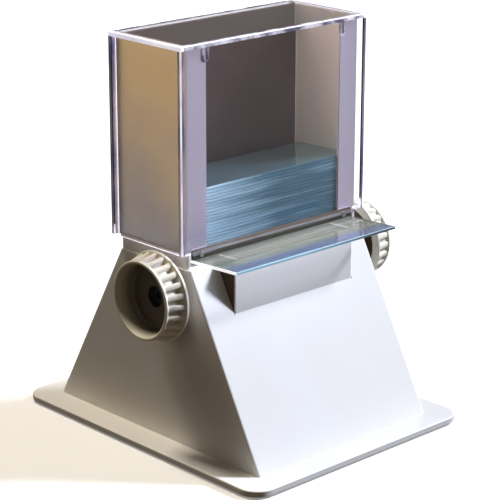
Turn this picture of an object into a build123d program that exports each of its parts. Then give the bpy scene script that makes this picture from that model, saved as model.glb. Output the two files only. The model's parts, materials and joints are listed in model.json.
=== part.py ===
"""Microscope slide dispenser.

A tapering moulded base carries a folded steel magazine under a clear lift-off cover.
Two ribbed knobs share one shaft across the base.  Two rubber-tyred rollers on that
shaft reach up through the deck under the stack and roll the lowest slide out
through the gate, onto the landing in front.

Millimetres, +Z up, the front is -Y.  The origin is on the surface that the feet
stand on, under the centre of the foot plate.
"""
from math import cos, radians, sqrt, tan
import os

from build123d import *

# ---------------------------------------------------------------- driving dimensions

# glass slides
slide_length = 76.0
slide_width = 26.0
slide_thickness = 1.0
slide_edge = 0.15
slide_tilt = 2.6
slide_spacing = 1.12
slides_in_stack = 21
slide_travel = 23.5

# foot plate and rubber feet
foot_width = 101.8
foot_depth = 122.8
foot_thickness = 2.1
foot_corner = 7.5
foot_edge = 0.5
foot_rise = 0.8
pad_diameter = 8.0
pad_recess = 1.0
pad_inset = 6.2

# tapering body
body_width = 81.7
body_foot_depth = 106.8
body_wall = 2.0
body_edge = 1.0
shoulder_height = 66.2
shoulder_front = 18.6
shoulder_back = 16.9
shoulder_edge = 0.4

# neck that the magazine stands on
neck_width = 80.6
neck_front = 16.9
neck_height = 5.4
neck_wall = 1.8
roof_opening_width = 69.0
roof_opening_front = 13.4
roof_opening_back = 12.6

# landing in front of the gate
landing_width = 56.4
landing_front = 27.0
landing_rise = 1.4
landing_edge = 0.6
rail_width = 1.4
rail_inset = 0.3
rail_height = 0.85

# deck under the stack
deck_thickness = 1.2
deck_gap = 0.1
deck_side_gap = 0.2

# magazine of folded sheet
sheet = 0.8
magazine_width = 80.6
magazine_front = 15.9
magazine_back = 15.0
magazine_tail = 2.0
magazine_height = 68.5
magazine_bend = 1.2
flange_width = 9.0
apron_side_gap = 1.2
apron_floor_gap = 0.5
gate_gap = 0.35
stack_gap = 0.1

# gate bar across the magazine's front
bar_thickness = 1.1
bar_rise = 1.0
bar_side_gap = 0.7
bar_end = 0.9

# clear cover
cover_width = 86.6
cover_depth = 36.6
cover_front = 17.8
cover_wall = 1.5
cover_roof = 1.5
cover_edge = 0.5
cover_rest_gap = 0.1
notch_width = 78.6
notch_height = 1.4
notch_corner = 0.6
loop_width = 3.0
loop_height = 5.2
loop_line = 0.8
loop_relief = 0.25

# shaft, bushes and rollers
shaft_y = -8.2
shaft_drop = 9.9
shaft_diameter = 5.0
shaft_end_edge = 0.4
running_clearance = 0.05
bush_outer = 8.0
bush_flange = 11.0
bush_flange_thickness = 0.8
bearing_boss = 13.0
bearing_boss_depth = 3.0
ring_outer = 8.6
ring_thickness = 0.8
ring_groove_depth = 0.4
ring_gap = 0.3
roller_place = 18.0
roller_width = 7.0
roller_gap = 0.2
tyre_thickness = 2.0
roller_boss = 10.0
roller_boss_length = 5.0
roller_groove = 0.35
window_gap = 0.7

# knobs
washer_diameter = 10.0
washer_thickness = 0.4
end_float = 0.1
knob_hub = 12.0
knob_flange = 31.2
knob_flange_place = 45.4
knob_flange_thickness = 1.2
knob_mouth = 27.4
knob_mouth_place = 53.8
knob_rim_thickness = 1.0
knob_rim_wall = 1.4
knob_floor_place = 47.2
knob_cup_draft = 1.3
knob_rib_count = 24
knob_rib_share = 0.52
knob_rib_draft = 0.1
knob_rib_drop = 0.45
knob_pocket_radius = 12.85
knob_pocket_crown = 0.35
knob_edge = 0.3
knob_cup_round = 1.2
knob_hole = 7.0
knob_screw_seat = 43.9
knob_shaft_gap = 0.3

# screws: shank, head and head height
screw_clearance = 0.1
knob_screw_shank = 3.0
knob_screw_head = 5.4
knob_screw_head_height = 1.6
knob_screw_length = 8.0
deck_screw_shank = 2.0
deck_screw_head = 3.6
deck_screw_length = 5.0
deck_screw_side = 36.5
deck_screw_front = 14.9
deck_screw_back = 13.0
deck_boss = 5.0
deck_boss_length = 3.4
gate_screw_shank = 1.2
gate_screw_head = 2.0
gate_screw_head_height = 0.4
gate_screw_place = 34.0
magazine_screw_shank = 2.0
magazine_screw_head = 3.8
magazine_screw_head_height = 1.1
magazine_screw_length = 2.2
magazine_screw_place = 24.0
magazine_screw_drop = 2.2
bottom_screw_shank = 2.9
bottom_screw_head = 5.6
bottom_screw_recess = 0.1
bottom_screw_length = 9.0
bottom_boss = 9.4
bottom_boss_side_inset = 6.35
bottom_boss_end_inset = 13.4
bottom_boss_height = 12.0
set_screw_diameter = 3.0
set_screw_length = 3.0
set_screw_socket = 1.5

# bottom plate
bottom_thickness = 1.6
bottom_gap = 0.25

# ---------------------------------------------------------------- worked-out dimensions

lean_front = (body_foot_depth / 2 - shoulder_front) / (shoulder_height - foot_rise)
lean_back = (body_foot_depth / 2 - shoulder_back) / (shoulder_height - foot_rise)
neck_top = shoulder_height + neck_height
landing_top = shoulder_height + landing_rise
shaft_z = shoulder_height - shaft_drop
magazine_top = neck_top + magazine_height
bar_top = neck_top + bar_rise
cover_bottom = neck_top
rise = tan(radians(slide_tilt))
tilt_cos = cos(radians(slide_tilt))
rail_top = landing_top + rail_height
slide_plane_height = rail_top - landing_front * rise
stack_front = magazine_front - sheet - stack_gap
slide_front = stack_front + slide_travel
slide_top_step = slide_thickness / tilt_cos
cover_top = magazine_top + cover_rest_gap + cover_roof
body_half = body_width / 2
hollow_below = 4 * body_wall
neck_inner_half = neck_width / 2 - neck_wall
neck_inner_back = shoulder_back - neck_wall
deck_half = neck_inner_half - deck_side_gap
flange_inner = magazine_width / 2 - flange_width
knob_hub_place = body_half + bush_flange_thickness + washer_thickness + end_float
shaft_end = knob_screw_seat - knob_shaft_gap
slide_over_shaft = (slide_plane_height - shaft_y * rise - shaft_z) * tilt_cos
roller_radius = slide_over_shaft - roller_gap
roller_hub_radius = roller_radius - tyre_thickness


def slide_plane(y):
    """Height of the underside of a slide on the deck, at a place y."""
    return slide_plane_height - y * rise


def body_outline(bottom):
    """Side outline of the tapering body, carried down to a height."""
    front = shoulder_front + lean_front * (shoulder_height - bottom)
    back = shoulder_back + lean_back * (shoulder_height - bottom)
    return [
        (-front, bottom),
        (-shoulder_front, shoulder_height),
        (shoulder_back, shoulder_height),
        (back, bottom),
    ]


def leans(edge):
    """Whether an edge runs up the body's slope."""
    run = edge.tangent_at(0.5)
    return abs(run.Y) > abs(run.X) and abs(run.Z) > abs(run.Y)


def tilted(y, height):
    """A plane that lies along the deck's slope, with its own z square to the slide."""
    return Plane(origin=(0, y, height), x_dir=(1, 0, 0), z_dir=(0, rise, 1))


def outward(side, place):
    """A plane square to the shaft, facing outwards on one side of the base."""
    return Plane(origin=(side * place, shaft_y, shaft_z), x_dir=(0, 1, 0), z_dir=(side, 0, 0))


shaft_axis = Axis((0, shaft_y, shaft_z), (1, 0, 0))
shaft_section = Plane(origin=(0, shaft_y, shaft_z), x_dir=(1, 0, 0), z_dir=(0, -1, 0))
sides = {"left": -1, "right": 1}
deck_screw_places = [
    (x * deck_screw_side, y) for x in (-1, 1) for y in (-deck_screw_front, deck_screw_back)
]
bottom_boss_side = body_half - bottom_boss_side_inset
bottom_boss_place = body_foot_depth / 2 - bottom_boss_end_inset
bottom_screw_places = [
    (x * bottom_boss_side, y * bottom_boss_place) for x in (-1, 1) for y in (-1, 1)
]
deck_underside = slide_plane_height - (deck_gap + deck_thickness) / tilt_cos

# ---------------------------------------------------------------- base housing

with BuildPart() as base_housing:
    # foot plate with a softened top edge
    with BuildSketch(Plane.XY.offset(foot_rise)):
        RectangleRounded(foot_width, foot_depth, foot_corner)
    extrude(amount=foot_thickness)
    fillet(base_housing.edges().group_by(Axis.Z)[-1], foot_edge)
    # tapering body with softened corner edges and shoulder
    with BuildSketch(Plane.YZ):
        Polygon(*body_outline(foot_rise), align=None)
    extrude(amount=body_half, both=True)
    leaning_edges = base_housing.edges(Select.LAST).filter_by(leans)
    fillet(leaning_edges, body_edge)
    shoulder_edges = base_housing.edges().filter_by_position(Axis.Z, shoulder_height, shoulder_height)
    fillet(shoulder_edges.filter_by(Axis.X).sort_by(Axis.Y)[0], shoulder_edge)
    # landing block, run back into the body
    meeting = shoulder_height - (landing_front - shoulder_front) / lean_front
    with BuildSketch(Plane.YZ):
        Polygon(
            (-landing_front, meeting),
            (-landing_front, landing_top),
            (-neck_front, landing_top),
            (-neck_front, meeting),
            align=None,
        )
    extrude(amount=landing_width / 2, both=True)
    landing_edges = base_housing.edges().filter_by_position(Axis.Y, -landing_front, -landing_front)
    fillet(landing_edges.filter_by(Axis.Z), landing_edge)
    # neck
    with BuildSketch(Plane.XY.offset(shoulder_height - body_wall)):
        with Locations((0, (shoulder_back - neck_front) / 2)):
            RectangleRounded(neck_width, shoulder_back + neck_front, body_edge)
    extrude(amount=neck_height + body_wall)
    # rails that the slide comes to rest on
    rail_front = landing_front - rail_inset
    rail_place = landing_width / 2 - rail_inset - landing_edge - rail_width / 2
    for side in sides.values():
        with BuildSketch(Plane.YZ.offset(side * rail_place)):
            Polygon(
                (-rail_front, landing_top - rail_width),
                (-rail_front, slide_plane(-rail_front)),
                (-neck_front, slide_plane(-neck_front)),
                (-neck_front, landing_top - rail_width),
                align=None,
            )
        extrude(amount=rail_width / 2, both=True)
    # hollow inside, open at the foot
    with BuildSketch(Plane.YZ):
        Polygon(*body_outline(foot_rise - hollow_below), align=None)
        offset(amount=-body_wall, kind=Kind.INTERSECTION, mode=Mode.REPLACE)
    extrude(amount=body_half - body_wall, both=True, mode=Mode.SUBTRACT)
    with BuildSketch(Plane.YZ):
        Polygon(
            (-landing_front + body_wall, meeting + landing_edge),
            (-landing_front + body_wall, landing_top - body_wall),
            (-neck_front, landing_top - body_wall),
            (-neck_front, shoulder_height - 2 * body_wall),
            (-shoulder_front - landing_edge, meeting + landing_edge),
            align=None,
        )
    extrude(amount=landing_width / 2 - body_wall, both=True, mode=Mode.SUBTRACT)
    # seat of the deck, open to the front, and the opening in the roof under it
    with BuildSketch(Plane.YZ):
        Polygon(
            (-neck_front - 1, deck_underside + (neck_front + 1) * rise),
            (-neck_front - 1, neck_top + 1),
            (neck_inner_back, neck_top + 1),
            (neck_inner_back, deck_underside - neck_inner_back * rise),
            align=None,
        )
    extrude(amount=neck_inner_half, both=True, mode=Mode.SUBTRACT)
    with BuildSketch(Plane.XY.offset(shoulder_height - 2 * body_wall)):
        with Locations((0, (roof_opening_back - roof_opening_front) / 2)):
            RectangleRounded(roof_opening_width, roof_opening_back + roof_opening_front, body_edge)
        with GridLocations(2 * roller_place, 0, 2, 1):
            with Locations((0, -neck_front + (roof_opening_back + neck_front) / 2)):
                Rectangle(roller_width + 2 * window_gap, roof_opening_back + neck_front)
    extrude(amount=neck_top - shoulder_height + 2 * body_wall, mode=Mode.SUBTRACT)
    # bosses under the roof for the deck screws
    with BuildSketch(Plane.XY.offset(shoulder_height - body_wall)):
        with Locations(*deck_screw_places):
            Circle(deck_boss / 2)
    extrude(amount=-deck_boss_length)
    with BuildSketch(Plane.XY.offset(neck_top)):
        with Locations(*deck_screw_places):
            Circle(deck_screw_shank / 2)
    extrude(amount=shoulder_height - neck_top - body_wall - deck_boss_length, mode=Mode.SUBTRACT)
    # bosses for the bottom plate's screws
    with BuildSketch(Plane.XY.offset(foot_rise + bottom_thickness)):
        with Locations(*bottom_screw_places):
            Circle(bottom_boss / 2)
    extrude(amount=bottom_boss_height)
    with BuildSketch(Plane.XY.offset(foot_rise)):
        with Locations(*bottom_screw_places):
            Circle(bottom_screw_shank / 2)
    extrude(amount=bottom_thickness + bottom_boss_height - body_wall, mode=Mode.SUBTRACT)
    # bearing bosses and their bores
    for side in sides.values():
        with BuildSketch(outward(side, body_half - body_wall)):
            Circle(bearing_boss / 2)
        extrude(amount=-bearing_boss_depth)
        with BuildSketch(outward(side, body_half)):
            Circle(bush_outer / 2)
        extrude(amount=-body_wall - bearing_boss_depth, mode=Mode.SUBTRACT)
    # recesses for the rubber feet
    with BuildSketch(Plane.XY.offset(foot_rise)):
        with GridLocations(foot_width - 2 * pad_inset, foot_depth - 2 * pad_inset, 2, 2):
            Circle(pad_diameter / 2)
    extrude(amount=pad_recess, mode=Mode.SUBTRACT)
    # pilot holes for the magazine's screws in the back of the neck
    magazine_screw_height = neck_top - magazine_screw_drop
    with BuildSketch(Plane.XZ.offset(-neck_inner_back)):
        with GridLocations(2 * magazine_screw_place, 0, 2, 1):
            with Locations((0, magazine_screw_height)):
                Circle(magazine_screw_shank / 2)
    extrude(amount=-magazine_screw_length + sheet, mode=Mode.SUBTRACT)

base_housing.part.label = "base_housing"

# ---------------------------------------------------------------- underside

with BuildPart() as rubber_feet:
    with BuildSketch(Plane.XY.offset(foot_rise + pad_recess)):
        with GridLocations(foot_width - 2 * pad_inset, foot_depth - 2 * pad_inset, 2, 2):
            Circle(pad_diameter / 2 - running_clearance)
    extrude(amount=-foot_rise - pad_recess)
    chamfer(rubber_feet.edges().group_by(Axis.Z)[0], foot_rise / 2)

rubber_feet.part.label = "rubber_feet"

with BuildPart() as bottom_plate:
    with BuildSketch(Plane.XY.offset(foot_rise)):
        Rectangle(
            body_width - 2 * body_wall - 2 * bottom_gap,
            body_foot_depth - 2 * body_wall * sqrt(1 + lean_back**2) - 2 * bottom_gap
            - 2 * bottom_thickness * lean_back,
        )
    extrude(amount=bottom_thickness)
    with Locations(*[(x, y, foot_rise) for x, y in bottom_screw_places]):
        with Locations(Rotation(180, 0, 0)):
            CounterSinkHole(
                bottom_screw_shank / 2 + screw_clearance,
                bottom_screw_head / 2,
                counter_sink_angle=90,
            )

bottom_plate.part.label = "bottom_plate"

with BuildPart() as bottom_screws:
    sunk_head = bottom_screw_head / 2 - bottom_screw_recess - screw_clearance
    with Locations(*[(x, y, foot_rise + bottom_screw_recess) for x, y in bottom_screw_places]):
        Cone(
            sunk_head,
            bottom_screw_shank / 2,
            sunk_head - bottom_screw_shank / 2,
            align=(Align.CENTER, Align.CENTER, Align.MIN),
        )
        Cylinder(
            bottom_screw_shank / 2 - running_clearance,
            bottom_screw_length,
            align=(Align.CENTER, Align.CENTER, Align.MIN),
        )

bottom_screws.part.label = "bottom_screws"

# ---------------------------------------------------------------- deck

with BuildPart() as deck_plate:
    deck_front = -neck_front + deck_side_gap
    deck_back = neck_inner_back - deck_side_gap
    deck_middle = (deck_front + deck_back) / 2
    under_deck = tilted(deck_middle, deck_underside - deck_middle * rise)
    shaft_across = (shaft_y - deck_middle) / tilt_cos
    below_tyre = deck_gap + deck_thickness - roller_gap
    window_half = sqrt(below_tyre * (2 * roller_radius - below_tyre)) + window_gap
    with BuildSketch(under_deck):
        Rectangle(2 * deck_half, (deck_back - deck_front) / tilt_cos)
        with Locations((0, shaft_across)):
            with GridLocations(2 * roller_place, 0, 2, 1):
                RectangleRounded(
                    roller_width + 2 * window_gap,
                    2 * window_half,
                    window_gap,
                    mode=Mode.SUBTRACT,
                )
    extrude(amount=deck_thickness)
    with Locations(
        *[
            Location(under_deck) * Location((x, (y - deck_middle) / tilt_cos, deck_thickness))
            for x, y in deck_screw_places
        ]
    ):
        CounterSinkHole(
            deck_screw_shank / 2 + screw_clearance,
            deck_screw_head / 2,
            counter_sink_angle=90,
        )

deck_plate.part.label = "deck_plate"

with BuildPart() as deck_screws:
    for x, y in deck_screw_places:
        head_top = deck_underside - y * rise + deck_thickness - screw_clearance
        head_radius = deck_screw_head / 2 - 3 * screw_clearance
        with Locations((x, y, head_top)):
            Cone(
                deck_screw_shank / 2,
                head_radius,
                head_radius - deck_screw_shank / 2,
                align=(Align.CENTER, Align.CENTER, Align.MAX),
            )
            Cylinder(
                deck_screw_shank / 2 - running_clearance,
                deck_screw_length,
                align=(Align.CENTER, Align.CENTER, Align.MAX),
            )

deck_screws.part.label = "deck_screws"

# ---------------------------------------------------------------- magazine and gate

gate_height = slide_plane(-magazine_front - bar_thickness) + slide_top_step + gate_gap

with BuildPart() as slide_magazine:
    # three walls and two folded flanges
    magazine_middle = (magazine_back - magazine_front) / 2
    magazine_depth = magazine_front + magazine_back
    with BuildSketch(Plane.XY.offset(neck_top)):
        with Locations((0, magazine_middle)):
            RectangleRounded(magazine_width, magazine_depth, magazine_bend)
            RectangleRounded(
                magazine_width - 2 * sheet,
                magazine_depth - 2 * sheet,
                magazine_bend - sheet,
                mode=Mode.SUBTRACT,
            )
        with Locations((0, -magazine_front + sheet / 2)):
            Rectangle(2 * flange_inner, 2 * sheet, mode=Mode.SUBTRACT)
        # hems of the side walls, carried past the back wall to centre the cover
        with GridLocations(magazine_width - sheet, 0, 2, 1):
            with Locations((0, magazine_back - magazine_bend + (magazine_tail + magazine_bend) / 2)):
                Rectangle(sheet, magazine_tail + magazine_bend)
    extrude(amount=magazine_height)
    # flange feet that reach down to the gate between the neck's side walls
    foot_outer = neck_inner_half - deck_side_gap
    with BuildSketch(Plane.XZ.offset(magazine_front)):
        with GridLocations(foot_outer + flange_inner, 0, 2, 1):
            with Locations((0, (gate_height + neck_top) / 2)):
                Rectangle(foot_outer - flange_inner, neck_top - gate_height)
    extrude(amount=-sheet)
    # apron down the inside of the neck's back wall
    apron_bottom = slide_plane(magazine_back) + apron_floor_gap
    with BuildSketch(Plane.XZ.offset(-magazine_back)):
        with Locations((0, (apron_bottom + neck_top) / 2)):
            Rectangle(2 * (neck_inner_half - apron_side_gap), neck_top - apron_bottom)
        with GridLocations(2 * magazine_screw_place, 0, 2, 1):
            with Locations((0, magazine_screw_height)):
                Circle(magazine_screw_shank / 2 + screw_clearance, mode=Mode.SUBTRACT)
    extrude(amount=sheet)
    # holes for the gate bar's screws
    gate_screw_height = (gate_height + neck_top) / 2
    with BuildSketch(Plane.XZ.offset(magazine_front + bar_thickness)):
        with GridLocations(2 * gate_screw_place, 0, 2, 1):
            with Locations((0, gate_screw_height)):
                Circle(gate_screw_shank / 2 + running_clearance)
    extrude(amount=-2 * (bar_thickness + sheet), mode=Mode.SUBTRACT)

slide_magazine.part.label = "slide_magazine"

with BuildPart() as magazine_screws:
    for x in (-magazine_screw_place, magazine_screw_place):
        inner_face = magazine_back - sheet
        with BuildSketch(Plane(origin=(x, inner_face, magazine_screw_height), z_dir=(0, -1, 0))):
            Circle(magazine_screw_head / 2)
        extrude(amount=magazine_screw_head_height)
        with BuildSketch(Plane(origin=(x, inner_face, magazine_screw_height), z_dir=(0, 1, 0))):
            Circle(magazine_screw_shank / 2 - running_clearance)
        extrude(amount=magazine_screw_length)
    chamfer(
        magazine_screws.edges().filter_by(GeomType.CIRCLE).group_by(Axis.Y)[0],
        magazine_screw_head_height / 3,
    )

magazine_screws.part.label = "magazine_screws"

with BuildPart() as gate_bar:
    bar_half = neck_inner_half - bar_side_gap
    with BuildSketch(Plane.XZ.offset(magazine_front)):
        with Locations((0, (gate_height + bar_top) / 2)):
            RectangleRounded(2 * bar_half, bar_top - gate_height, bar_end)
        with GridLocations(2 * gate_screw_place, 0, 2, 1):
            with Locations((0, gate_screw_height)):
                Circle(gate_screw_shank / 2 + running_clearance, mode=Mode.SUBTRACT)
    extrude(amount=bar_thickness)

gate_bar.part.label = "gate_bar"

with BuildPart() as gate_screws:
    for x in (-gate_screw_place, gate_screw_place):
        bar_face = -magazine_front - bar_thickness
        with BuildSketch(Plane(origin=(x, bar_face, gate_screw_height), z_dir=(0, -1, 0))):
            Circle(gate_screw_head / 2)
        extrude(amount=gate_screw_head_height)
        with BuildSketch(Plane(origin=(x, bar_face, gate_screw_height), z_dir=(0, 1, 0))):
            Circle(gate_screw_shank / 2)
        extrude(amount=bar_thickness + sheet)

gate_screws.part.label = "gate_screws"

# ---------------------------------------------------------------- clear cover

with BuildPart() as clear_cover:
    cover_middle = cover_depth / 2 - cover_front
    with BuildSketch(Plane.XY.offset(cover_bottom)):
        with Locations((0, cover_middle)):
            RectangleRounded(cover_width, cover_depth, cover_edge)
    extrude(amount=cover_top - cover_bottom)
    fillet(clear_cover.edges().group_by(Axis.Z)[-1], cover_edge / 2)
    with BuildSketch(Plane.XY.offset(cover_bottom)):
        with Locations((0, cover_middle)):
            Rectangle(cover_width - 2 * cover_wall, cover_depth - 2 * cover_wall)
    extrude(amount=cover_top - cover_roof - cover_bottom, mode=Mode.SUBTRACT)
    # notch over the gate bar
    with BuildSketch(Plane.XZ.offset(cover_front - cover_wall / 2)):
        with Locations((0, cover_bottom)):
            RectangleRounded(notch_width, 2 * notch_height, notch_corner)
    extrude(amount=cover_wall, both=True, mode=Mode.SUBTRACT)
    # two raised loops inside the front wall, over the flanges' inner edges
    with BuildSketch(Plane.XZ.offset(cover_front - cover_wall)):
        with GridLocations(2 * flange_inner + loop_line, 0, 2, 1):
            with Locations((0, cover_top - cover_roof - loop_height / 2)):
                SlotOverall(2 * loop_height - loop_width, loop_width, rotation=90)
                SlotOverall(
                    2 * loop_height - loop_width - 2 * loop_line,
                    loop_width - 2 * loop_line,
                    rotation=90,
                    mode=Mode.SUBTRACT,
                )
        with Locations((0, cover_top - cover_roof + loop_height)):
            Rectangle(cover_width, 2 * loop_height, mode=Mode.SUBTRACT)
    extrude(amount=-loop_relief)

clear_cover.part.label = "clear_cover"

# ---------------------------------------------------------------- slides


def make_slide(front, lift):
    """One glass slide with ground long edges, by its front edge and its height over the deck."""
    middle = -front + slide_width / 2 * tilt_cos
    with BuildPart() as slide:
        with BuildSketch(tilted(middle, slide_plane(middle) + lift)):
            Rectangle(slide_length, slide_width)
        extrude(amount=slide_thickness)
        chamfer(slide.edges().filter_by(Axis.X), slide_edge)
    return slide.part


stacked_slides = [
    make_slide(stack_front, slide_spacing * (number + 1))
    for number in range(slides_in_stack)
]

with BuildPart() as slide_stack:
    add(stacked_slides)

slide_stack.part.label = "slide_stack"

dispensed_slide = make_slide(slide_front, 0)
dispensed_slide.label = "dispensed_slide"

# ---------------------------------------------------------------- shaft and rollers

with BuildPart() as drive_shaft:
    with BuildSketch(outward(1, -shaft_end)):
        Circle(shaft_diameter / 2)
    extrude(amount=2 * shaft_end)
    chamfer(drive_shaft.edges().filter_by(GeomType.CIRCLE), shaft_end_edge)
    for side in sides.values():
        # tapped end
        with BuildSketch(outward(side, shaft_end)):
            Circle(knob_screw_shank / 2)
        extrude(amount=-knob_screw_length, mode=Mode.SUBTRACT)
        # groove of the retaining ring
        ring_place = body_half - body_wall - bearing_boss_depth - ring_gap
        with BuildSketch(outward(side, ring_place)):
            Circle(shaft_diameter)
            Circle(shaft_diameter / 2 - ring_groove_depth, mode=Mode.SUBTRACT)
        extrude(amount=-ring_thickness, mode=Mode.SUBTRACT)

drive_shaft.part.label = "drive_shaft"

with BuildPart() as retaining_rings:
    for side in sides.values():
        with BuildSketch(outward(side, ring_place)):
            Circle(ring_outer / 2)
            Circle(shaft_diameter / 2 - ring_groove_depth, mode=Mode.SUBTRACT)
            with Locations((0, -ring_outer / 2)):
                Rectangle(shaft_diameter / 2, ring_outer / 2, mode=Mode.SUBTRACT)
        extrude(amount=-ring_thickness)

retaining_rings.part.label = "retaining_rings"


def make_bush(side):
    """A flanged bush in one side wall."""
    with BuildPart() as bush:
        with BuildSketch(outward(side, body_half)):
            Circle(bush_flange / 2)
        extrude(amount=bush_flange_thickness)
        with BuildSketch(outward(side, body_half)):
            Circle(bush_outer / 2 - running_clearance / 2)
        extrude(amount=-body_wall - bearing_boss_depth)
        with BuildSketch(outward(side, body_half + bush_flange_thickness)):
            Circle(shaft_diameter / 2 + running_clearance)
        extrude(amount=-2 * bearing_boss, mode=Mode.SUBTRACT)
    return bush.part


def make_roller_hub(side):
    """A plastic roller hub with a boss for its set screw."""
    with BuildPart() as hub:
        with BuildSketch(outward(side, roller_place - roller_width / 2)):
            Circle(roller_hub_radius)
        extrude(amount=roller_width)
        with BuildSketch(outward(side, roller_place + roller_width / 2)):
            Circle(roller_boss / 2)
        extrude(amount=roller_boss_length)
        with BuildSketch(outward(side, 0)):
            Circle(shaft_diameter / 2)
        extrude(amount=body_half, mode=Mode.SUBTRACT)
        screw_place = roller_place + roller_width / 2 + roller_boss_length / 2
        with BuildSketch(Plane.XY.offset(shaft_z)):
            with Locations((side * screw_place, shaft_y)):
                Circle(set_screw_diameter / 2)
        extrude(amount=-roller_boss, mode=Mode.SUBTRACT)
    return hub.part


def make_roller_tyre(side):
    """A rubber tyre with shallow grip grooves."""
    with BuildPart() as tyre:
        with BuildSketch(outward(side, roller_place - roller_width / 2)):
            Circle(roller_radius)
            Circle(roller_hub_radius, mode=Mode.SUBTRACT)
        extrude(amount=roller_width)
        for groove in (-1, 0, 1):
            groove_place = roller_place + groove * roller_width / 4
            with BuildSketch(outward(side, groove_place - roller_groove / 2)):
                Circle(roller_radius)
                Circle(roller_radius - roller_groove, mode=Mode.SUBTRACT)
            extrude(amount=roller_groove, mode=Mode.SUBTRACT)
    return tyre.part


with BuildPart() as set_screws:
    for side in sides.values():
        screw_place = roller_place + roller_width / 2 + roller_boss_length / 2
        screw_top = shaft_z - shaft_diameter / 2
        with BuildSketch(Plane.XY.offset(screw_top)):
            with Locations((side * screw_place, shaft_y)):
                Circle(set_screw_diameter / 2)
        extrude(amount=-set_screw_length)
        with BuildSketch(Plane.XY.offset(screw_top - set_screw_length)):
            with Locations((side * screw_place, shaft_y)):
                RegularPolygon(set_screw_socket / 2, 6)
        extrude(amount=set_screw_length / 2, mode=Mode.SUBTRACT)

set_screws.part.label = "set_screws"

# ---------------------------------------------------------------- knobs

with BuildPart() as thrust_washers:
    for side in sides.values():
        with BuildSketch(outward(side, body_half + bush_flange_thickness + end_float / 2)):
            Circle(washer_diameter / 2)
            Circle(shaft_diameter / 2, mode=Mode.SUBTRACT)
        extrude(amount=washer_thickness)

thrust_washers.part.label = "thrust_washers"

with BuildPart() as knob_screws:
    for side in sides.values():
        with BuildSketch(outward(side, knob_screw_seat)):
            Circle(knob_screw_head / 2)
        extrude(amount=knob_screw_head_height)
        with BuildSketch(outward(side, knob_screw_seat + knob_screw_head_height)):
            RegularPolygon(knob_screw_head / 4, 6)
        extrude(amount=-knob_screw_head_height / 2, mode=Mode.SUBTRACT)
        with BuildSketch(outward(side, knob_screw_seat)):
            Circle(knob_screw_shank / 2)
        extrude(amount=-knob_screw_length)

knob_screws.part.label = "knob_screws"


def corner_at(sketch, x, y):
    """The corner of a sketch that lies nearest to a point."""
    return sketch.vertices().sort_by_distance((x, y))[0]


def make_knob(side):
    """A cupped knob with axial ribs between its back flange and its mouth rim."""
    flange_face = knob_flange_place + knob_flange_thickness
    rim_back = knob_mouth_place - knob_rim_thickness
    rib_back = knob_flange / 2 - knob_rib_drop
    mouth = knob_mouth / 2
    rib_front = mouth - knob_rib_drop / 2
    cup_mouth = mouth - knob_rim_wall
    cup_floor = cup_mouth - knob_cup_draft
    crown_base = (cup_mouth + knob_pocket_radius) / 2
    with BuildPart() as knob:
        # body turned about the shaft, solid out to the tops of the ribs
        with BuildSketch(shaft_section) as section:
            Polygon(
                (side * knob_hub_place, 0),
                (side * knob_hub_place, knob_hub / 2),
                (side * knob_flange_place, knob_hub / 2),
                (side * knob_flange_place, knob_flange / 2),
                (side * flange_face, knob_flange / 2),
                (side * flange_face, rib_back),
                (side * rim_back, rib_front),
                (side * rim_back, mouth),
                (side * knob_mouth_place, mouth),
                (side * knob_mouth_place, cup_mouth),
                (side * knob_floor_place, cup_floor),
                (side * knob_floor_place, 0),
                align=None,
            )
            fillet(corner_at(section, side * knob_flange_place, knob_flange / 2), knob_edge)
            fillet(corner_at(section, side * flange_face, knob_flange / 2), knob_edge)
            fillet(corner_at(section, side * knob_mouth_place, mouth), knob_edge)
            fillet(corner_at(section, side * knob_mouth_place, cup_mouth), knob_edge)
            fillet(corner_at(section, side * knob_floor_place, cup_floor), knob_cup_round)
        revolve(axis=shaft_axis)
        # pockets between the ribs, narrower at their floor, as the mould draws them
        pitch = 360 / knob_rib_count
        foot_half = knob_rib_share * pitch / 2
        top_half = (knob_rib_share - knob_rib_draft) * pitch / 2
        with BuildSketch(outward(side, flange_face)):
            with BuildLine():
                floor = CenterArc((0, 0), knob_pocket_radius, foot_half, pitch - 2 * foot_half)
                outer = CenterArc((0, 0), knob_flange / 2, top_half, pitch - 2 * top_half)
                Line(floor @ 0, outer @ 0)
                Line(floor @ 1, outer @ 1)
            pocket = make_face(mode=Mode.PRIVATE)
            with PolarLocations(0, knob_rib_count):
                add(pocket)
        extrude(amount=rim_back - flange_face, mode=Mode.SUBTRACT)
        # crowned floor of the pockets
        with BuildSketch(shaft_section):
            with BuildLine():
                crown = ThreePointArc(
                    (side * flange_face, knob_pocket_radius),
                    (side * (flange_face + rim_back) / 2, knob_pocket_radius + knob_pocket_crown),
                    (side * rim_back, knob_pocket_radius),
                )
                Polyline(
                    crown @ 1,
                    (side * rim_back, crown_base),
                    (side * flange_face, crown_base),
                    crown @ 0,
                )
            make_face()
        revolve(axis=shaft_axis)
        # hole for the screw's head, bore for the shaft and the way between them
        with BuildSketch(outward(side, knob_floor_place)):
            Circle(knob_hole / 2)
        extrude(amount=knob_screw_seat - knob_floor_place, mode=Mode.SUBTRACT)
        with BuildSketch(outward(side, knob_floor_place)):
            Circle(knob_screw_shank / 2 + screw_clearance)
        extrude(amount=knob_hub_place - knob_floor_place, mode=Mode.SUBTRACT)
        with BuildSketch(outward(side, knob_hub_place)):
            Circle(shaft_diameter / 2)
        extrude(amount=shaft_end - knob_hub_place, mode=Mode.SUBTRACT)
    return knob.part


# ---------------------------------------------------------------- files

os.makedirs("parts", exist_ok=True)
for name, side in sides.items():
    for kind, make in (
        ("bush", make_bush),
        ("roller_hub", make_roller_hub),
        ("roller_tyre", make_roller_tyre),
        ("knob", make_knob),
    ):
        piece = make(side)
        piece.label = f"{name}_{kind}"
        export_step(piece, f"parts/{name}_{kind}.step")

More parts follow.
